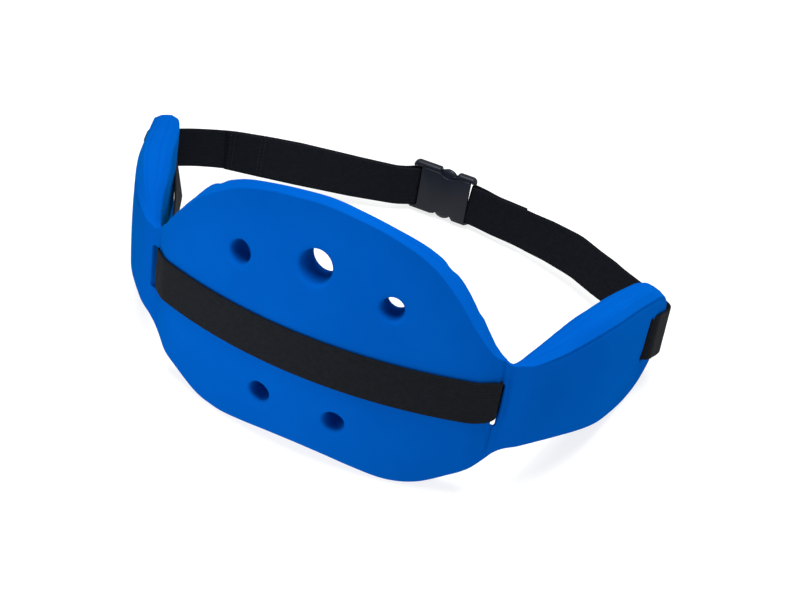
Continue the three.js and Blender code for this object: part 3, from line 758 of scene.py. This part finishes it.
def strap_line():
    """The strap's whole line in plan, from its sewn end to its tail."""
    socket_fold, plug_fold = fold_line(SOCKET_BAR, 1, 120), fold_line(PLUG_BAR, -1, 90)
    s = np.linspace(-STRAP_ON_PANEL, STRAP_ON_PANEL, 90)
    lie = bump(np.abs(s) - HINGE_AT, HINGE_HALF, HINGE_DEPTH) - GAP - STRAP_THICK / 2
    panel = [p[:2] for p in inward(s, lie, 0)]
    sewn = [(x, y - LAYER, bend) for x, y, bend in LEFT_BACK][::-1]
    left = [socket_fold[-1], *LEFT_BACK, *wing_route(-1)[::-1], panel[0]]
    right = [panel[-1], *wing_route(1), *RIGHT_BACK, plug_fold[0]]
    line = [*rounded_line([*sewn, socket_fold[0]]), *socket_fold[1:], *rounded_line(left)[1:], *panel[1:]]
    line += [*rounded_line(right)[1:], *plug_fold[1:], *rounded_line([plug_fold[-1], *TAIL])[1:]]
    return np.array(line)


def strap_mesh():
    """The strap's rounded section drawn along its line, with its lean and its change of height."""
    line = strap_line()
    keep = np.concatenate([[True], np.linalg.norm(np.diff(line, axis=0), axis=1) > 0.05])
    line = line[keep]
    dense = [line[0]]
    for a, b in zip(line, line[1:]):
        n = max(1, math.ceil(np.linalg.norm(b - a) / STRAP_STEP))
        dense += [a + (b - a) * k / n for k in range(1, n + 1)]
    line = np.array(dense)
    tangent = np.gradient(line, axis=0)
    tangent /= np.linalg.norm(tangent, axis=1)[:, None]
    normal = np.stack([-tangent[:, 1], tangent[:, 0]], 1)
    far = np.concatenate([[0], np.cumsum(np.linalg.norm(np.diff(line, axis=0), axis=1))])
    half, thick = STRAP_WIDTH / 2, STRAP_THICK / 2
    across = np.linspace(-half + STRAP_EDGE, half - STRAP_EDGE, 15)
    turns = np.radians([30, 60, 90, 120, 150])
    ring = [(v, thick) for v in across]
    ring += [(half - STRAP_EDGE + STRAP_EDGE * math.sin(t), thick * math.cos(t)) for t in turns]
    ring += [(v, -thick) for v in across[::-1]]
    ring += [(-half + STRAP_EDGE - STRAP_EDGE * math.sin(t), -thick * math.cos(t)) for t in turns]
    n = len(ring)
    verts, uv, faces = [], [], []
    x, y = line[:, 0], line[:, 1]
    behind = smooth_step((y - LEAN_FROM[0]) / LEAN_FROM[1])
    lean = np.stack([np.interp(x, BACK_LEAN[:, 0], BACK_LEAN[:, k]) * behind for k in (1, 2)], 1)
    lean[:, 0] += np.where(x < 0, INSIDE_LEAN * bump(y - INSIDE_AT, INSIDE_REACH, 1), 0)
    hinge = [inward(np.array([side * SLOTS[0][0]]), HINGE_DEPTH, 0)[0, :2] for side in (-1, 1)]
    pinch = sum(bump(np.linalg.norm(line - p, axis=1), SLOT_PINCH[0], 1) for p in hinge)
    rise = PANEL_RISE[0] * (1 - smooth_step((y - PANEL_RISE[1]) / PANEL_RISE[2])) - SLOT_PINCH[1] * pinch
    out = inward(np.array([SLOTS[1][0] + 3]), -3, 0)[0, :2]
    rise = rise + bump(np.linalg.norm(line - out, axis=1), TIP_RISE[1], TIP_RISE[0])
    far_back = smooth_step((y - RISE_FROM[0]) / RISE_FROM[1])
    rise = rise + np.interp(x, BACK_RISE[:, 0], BACK_RISE[:, 1]) * far_back
    for p, nrm, f, (lx, ly), up, tight in zip(line, normal, far, lean, rise, pinch):
        for v, w in ring:
            high = v * (1 - SLOT_PINCH[2] * tight) if v < 0 else v
            verts.append((p[0] + nrm[0] * w + lx * v, p[1] + nrm[1] * w + ly * v, high + up))
            uv.append((f, v))
    for i in range(len(line) - 1):
        for j in range(n):
            a, b = i * n + j, i * n + (j + 1) % n
            faces.append((a, b, b + n, a + n))
    faces.append(tuple(range(n - 1, -1, -1)))
    faces.append(tuple((len(line) - 1) * n + j for j in range(n)))
    return placed(verts), faces, uv


strap_verts, strap_faces, strap_uv = strap_mesh()
strap = mesh_object("strap_look", strap_verts, strap_faces, WEBBING, uv=strap_uv)
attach(strap, "root")
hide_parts("webbing_strap")


# Thread that sews the strap's left end down behind the socket, in rows across the strap
STITCH_ROWS = [-212.0, -208.5, -184.5, -181.0]  # x
STITCH_LENGTH, STITCH_PITCH, STITCH_RADIUS, STITCH_HALF = 2.6, 3.6, 0.35, 16.2  # the last is half a row


def stitch_mesh():
    """Short rounded stitches in rows, just proud of the sewn end."""
    sewn = np.array(rounded_line([(x, y - LAYER, bend) for x, y, bend in LEFT_BACK][::-1]))
    verts, faces = [], []
    for x in STITCH_ROWS:
        y = np.interp(x, sewn[:, 0], sewn[:, 1])
        slope = np.interp(x + 1, sewn[:, 0], sewn[:, 1]) - y
        ahead = np.array([1, slope]) / math.hypot(1, slope)
        inner = np.array([ahead[1], -ahead[0]])
        lean = [np.interp(x, BACK_LEAN[:, 0], BACK_LEAN[:, k]) for k in (1, 2)]
        for middle in np.arange(-STITCH_HALF, STITCH_HALF + 0.1, STITCH_PITCH):
            base = len(verts)
            for t in np.linspace(-1, 1, 7):
                v = middle + t * STITCH_LENGTH / 2
                reach = STITCH_RADIUS * math.sqrt(max(1 - t**6, 0.03))
                for turn in np.arange(8) * math.pi / 4:
                    side = reach * math.cos(turn)
                    out = STRAP_THICK / 2 + 0.1 + reach * math.sin(turn) - 0.25 * t * t
                    p = np.array([x, y]) + ahead * side + inner * out + np.array(lean) * v
                    verts.append((p[0], p[1], v))
            for k in range(6):
                for j in range(8):
                    a, b = base + 8 * k + j, base + 8 * k + (j + 1) % 8
                    faces.append((a, b, b + 8, a + 8))
            faces.append(tuple(range(base + 7, base - 1, -1)))
            faces.append(tuple(range(base + 48, base + 56)))
    return placed(verts), faces


def thread_material():
    m = Nodes("black_thread")
    where = m.add("ShaderNodeTexCoord").outputs["Object"]
    twist = m.add("ShaderNodeTexWave", Scale=900.0, Distortion=1.5, Detail=1.0)
    m.link(where, twist.inputs["Vector"])
    tone = m.ramp(twist.outputs["Fac"], zip((0.2, 0.8), THREAD_TONES))
    m.link(tone, m.shader.inputs["Base Color"])
    m.shader.inputs["Roughness"].default_value = 0.6
    m.shader.inputs["Specular IOR Level"].default_value = 0.15
    return m.material


stitch_verts, stitch_faces = stitch_mesh()
stitches = mesh_object("stitches_look", stitch_verts, stitch_faces, thread_material())
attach(stitches, "root")
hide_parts("webbing_strap")


# Buckle
class Moulding:
    """Rounded solids of one moulded piece, gathered into one mesh in u, v, w."""

    def __init__(self):
        self.verts, self.faces = [], []

    def slab(self, outline, w0, w1, round_by, steps=4):
        """An outline in u and v, drawn out along w, with its rims rounded over."""
        p = np.asarray(outline, float)
        area = (p[:, 0] * np.roll(p[:, 1], -1) - np.roll(p[:, 0], -1) * p[:, 1]).sum()
        if area < 0:
            p = p[::-1]
        ahead, behind = np.roll(p, -1, 0) - p, p - np.roll(p, 1, 0)
        ahead /= np.linalg.norm(ahead, axis=1)[:, None]
        behind /= np.linalg.norm(behind, axis=1)[:, None]
        mean = np.stack([ahead[:, 1] + behind[:, 1], -ahead[:, 0] - behind[:, 0]], 1)
        length = np.linalg.norm(mean, axis=1)[:, None]
        mitre = mean / length * np.minimum(2 / length, 1.6)
        r = min(round_by, (w1 - w0) / 2)
        turns = np.linspace(0, math.pi / 2, steps)
        levels = [(r * (1 - math.sin(t)), w0 + r * (1 - math.cos(t))) for t in turns]
        levels += [(r * (1 - math.sin(t)), w1 - r * (1 - math.cos(t))) for t in turns[::-1]]
        n, base = len(p), len(self.verts)
        for inset, w in levels:
            self.verts += [(*q, w) for q in p - inset * mitre]
        for k in range(len(levels) - 1):
            for j in range(n):
                a, b = base + k * n + j, base + k * n + (j + 1) % n
                self.faces.append((a, b, b + n, a + n))
        last = base + (len(levels) - 1) * n
        self.faces.append(tuple(range(base + n - 1, base - 1, -1)))
        self.faces.append(tuple(range(last, last + n)))

    def bar(self, u, w, radius, reach, sides=20):
        """A round bar along v."""
        turns = np.arange(sides) * 2 * math.pi / sides
        base = len(self.verts)
        for v in (-reach, reach):
            self.verts += [(u + radius * math.cos(t), v, w + radius * math.sin(t)) for t in turns]
        for j in range(sides):
            a, b = base + j, base + (j + 1) % sides
            self.faces.append((a, b, b + sides, a + sides))
        self.faces.append(tuple(range(base, base + sides)))
        self.faces.append(tuple(range(base + 2 * sides - 1, base + sides - 1, -1)))

    def dome(self, u, v, w, radii, rows=10, sides=28):
        """An egg with its poles along v."""
        base = len(self.verts)
        for k in range(1, rows):
            tilt = math.pi * k / rows
            for j in range(sides):
                t = 2 * math.pi * j / sides
                du, dw = radii[0] * math.sin(tilt) * math.cos(t), radii[2] * math.sin(tilt) * math.sin(t)
                self.verts.append((u + du, v + radii[1] * math.cos(tilt), w + dw))
        for k in range(rows - 2):
            for j in range(sides):
                a, b = base + k * sides + j, base + k * sides + (j + 1) % sides
                self.faces.append((a, b, b + sides, a + sides))
        self.faces.append(tuple(range(base, base + sides)))
        last = base + (rows - 2) * sides
        self.faces.append(tuple(range(last + sides - 1, last - 1, -1)))

    def made(self, name, node):
        p = np.array(self.verts)
        points = np.stack([p[:, 0], p[:, 2], p[:, 1]], 1) + BUCKLE_AT
        obj = mesh_object(name, placed(points), self.faces, PLASTIC)
        obj.data.set_sharp_from_angle(angle=math.radians(40))
        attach(obj, "root")
        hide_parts(node)


def arc(u, v, radius, start, stop, steps):
    """Points of an arc in u and v, by degrees."""
    turns = np.radians(np.linspace(start, stop, steps))
    return [(u + radius * math.cos(t), v + radius * math.sin(t)) for t in turns]


def plate_outline(half, right, corner=1.6):
    """Socket plate with a finger notch in either side."""
    reach = math.degrees(math.asin((NOTCH_V - half) / NOTCH_RADIUS))
    top = arc(NOTCH_U, NOTCH_V, NOTCH_RADIUS, -reach, -180 + reach, 17)
    low = [(u, -v) for u, v in top][::-1]
    left = SOCKET_LEFT
    out = arc(right - corner, half - corner, corner, 0, 90, 5) + top
    out += arc(left + corner, half - corner, corner, 90, 180, 5)
    out += arc(left + corner, corner - half, corner, 180, 270, 5)
    return out + low + arc(right - corner, corner - half, corner, 270, 360, 5)


def rail_outline(near, far, inside, outside, near_corner, far_corner, side):
    """Side rail in u and v with both outer corners round."""
    way = 1 if far > near else -1
    most = outside - inside - 0.2
    turns = np.linspace(0, math.pi / 2, 9)
    outline = [(near, inside), (far, inside)]
    ends = (far, -way, far_corner, turns), (near, way, near_corner, turns[::-1])
    for end, inwards, corner, order in ends:
        r = min(corner, most)
        outline += [(end + inwards * r * (1 - math.cos(t)), outside - r * (1 - math.sin(t))) for t in order]
    return [(u, side * v) for u, v in outline]


def block(u0, u1, v0, v1):
    """Outline of a straight block."""
    return [(u0, v0), (u1, v0), (u1, v1), (u0, v1)]


socket = Moulding()
socket.slab(plate_outline(BUCKLE_HALF, SOCKET_RIGHT + 1.4), 0, PLATE + 0.4, 0.6)
socket.slab(plate_outline(BUCKLE_HALF, SOCKET_RIGHT - 3.6), BUCKLE_THICK - PLATE - 0.4, BUCKLE_THICK, 0.6)
left = SOCKET_LEFT
socket.slab(block(left, left + 3, -20, 20), *RAIL_W, 0.3)
for side in (-1, 1):
    socket.slab(block(left + 1, -10.2, side * 19.9, side * 22), *RAIL_W, 0.3)
    socket.slab(rail_outline(-8.4, -37, 20.4, RAIL_REACH[side], 2.2, 5.4, side), *RAIL_W, 3.2, 8)
socket.bar(SOCKET_BAR[0], BUCKLE_THICK / 2, SOCKET_BAR[1], BAR_REACH)
socket.made("buckle_socket_look", "buckle_socket")

plug = Moulding()
plug.slab(block(13, 17.6, -BAR_REACH, BAR_REACH), *PLUG_W, 0.4)
plug.slab(block(-20, 15, -2.5, 2.5), *PLUG_W, 0.4)
# Upper prong: u, v
PRONG = [
    (15, 12), (-12, 13), (-15, 16), (-13, 19.5), (-9.9, 19.7), (-9.5, 21.8), (9, 21.8), (10, 20), (15, 19.4),
]
for side in (-1, 1):
    plug.slab([(u, side * v) for u, v in PRONG], *PLUG_W, 0.4)
    plug.dome(BUTTON_U, side * 17.6, BUCKLE_THICK / 2, (BUTTON_HALF + 1.2, BUTTON_REACH - 17.4, 4.3))
    plug.slab(rail_outline(7.6, 27.4, 20.6, RAIL_REACH[side], 3.4, 4.6, side), *RAIL_W, 3.2, 8)
    plug.slab(block(12, 18, side * 19.4, side * 23.5), 2.8, 8.2, 0.3)
plug.bar(PLUG_BAR[0], BUCKLE_THICK / 2, PLUG_BAR[1], BAR_REACH)
plug.made("buckle_plug_look", "buckle_plug")


# Floor, light and camera
def floor_material():
    m = Nodes("pale_floor")
    m.shader.inputs["Base Color"].default_value = (0.28, 0.28, 0.28, 1)
    m.shader.inputs["Roughness"].default_value = 0.9
    m.shader.inputs["Specular IOR Level"].default_value = 0.1
    m.shader.inputs["Emission Color"].default_value = (1, 1, 1, 1)
    m.shader.inputs["Emission Strength"].default_value = 0.78
    return m.material


FLOOR_HALF = 6  # metres
floor_corners = [(x * FLOOR_HALF, y * FLOOR_HALF, 0) for x, y in ((-1, -1), (1, -1), (1, 1), (-1, 1))]
floor = mesh_object("floor", floor_corners, [(0, 1, 2, 3)], floor_material(), smooth=False)

world = bpy.data.worlds.new("studio")
bpy.context.scene.world = world
world.use_nodes = True
world.node_tree.nodes["Background"].inputs["Color"].default_value = (1, 1, 1, 1)
world.node_tree.nodes["Background"].inputs["Strength"].default_value = 0.28


def area_light(name, at, to, size, watts):
    light = bpy.data.lights.new(name, "AREA")
    light.shape = "DISK"
    light.size = size
    light.energy = watts
    obj = bpy.data.objects.new(name, light)
    obj.location = at
    obj.rotation_euler = (Vector(to) - Vector(at)).to_track_quat("-Z", "Y").to_euler()
    bpy.context.scene.collection.objects.link(obj)


area_light("key", (-0.17, -0.49, 0.16), (-0.05, -0.14, 0.1), 0.25, 1.15)
area_light("top", (0.0, 0.4, 2.2), (0, 0, 0.1), 1.6, 82)
area_light("fill", (1.9, -0.7, 0.7), (0, 0, 0.1), 1.4, 12)

# Camera, given in the belt's frame: radians and millimetres
CAMERA = {
    "azimuth": 0.33916,
    "elevation": 0.58262,
    "roll": 0.17536,
    "distance": 1120.085,
    "target": (75.0185, 0.0, 84.29986),
}
az, el, roll = CAMERA["azimuth"], CAMERA["elevation"], CAMERA["roll"]
back = Vector((math.sin(az) * math.cos(el), -math.cos(az) * math.cos(el), math.sin(el)))
level = Vector((math.cos(az), math.sin(az), 0))
up = back.cross(level)
right_way = math.cos(roll) * level + math.sin(roll) * up
up_way = math.cos(roll) * up - math.sin(roll) * level
place = Vector(CAMERA["target"]) + CAMERA["distance"] * back
camera = bpy.data.objects.new("camera", bpy.data.cameras.new("camera"))
camera.data.lens, camera.data.sensor_width = 67.5, 36.0
camera.data.clip_start, camera.data.clip_end = 0.05, 50
axes = Matrix([turned(right_way), turned(up_way), turned(back)]).transposed().to_4x4()
axes.translation = Vector(placed([place])[0])
camera.matrix_world = axes
bpy.context.scene.collection.objects.link(camera)
bpy.context.scene.camera = camera
bpy.context.scene.view_settings.view_transform = "Standard"
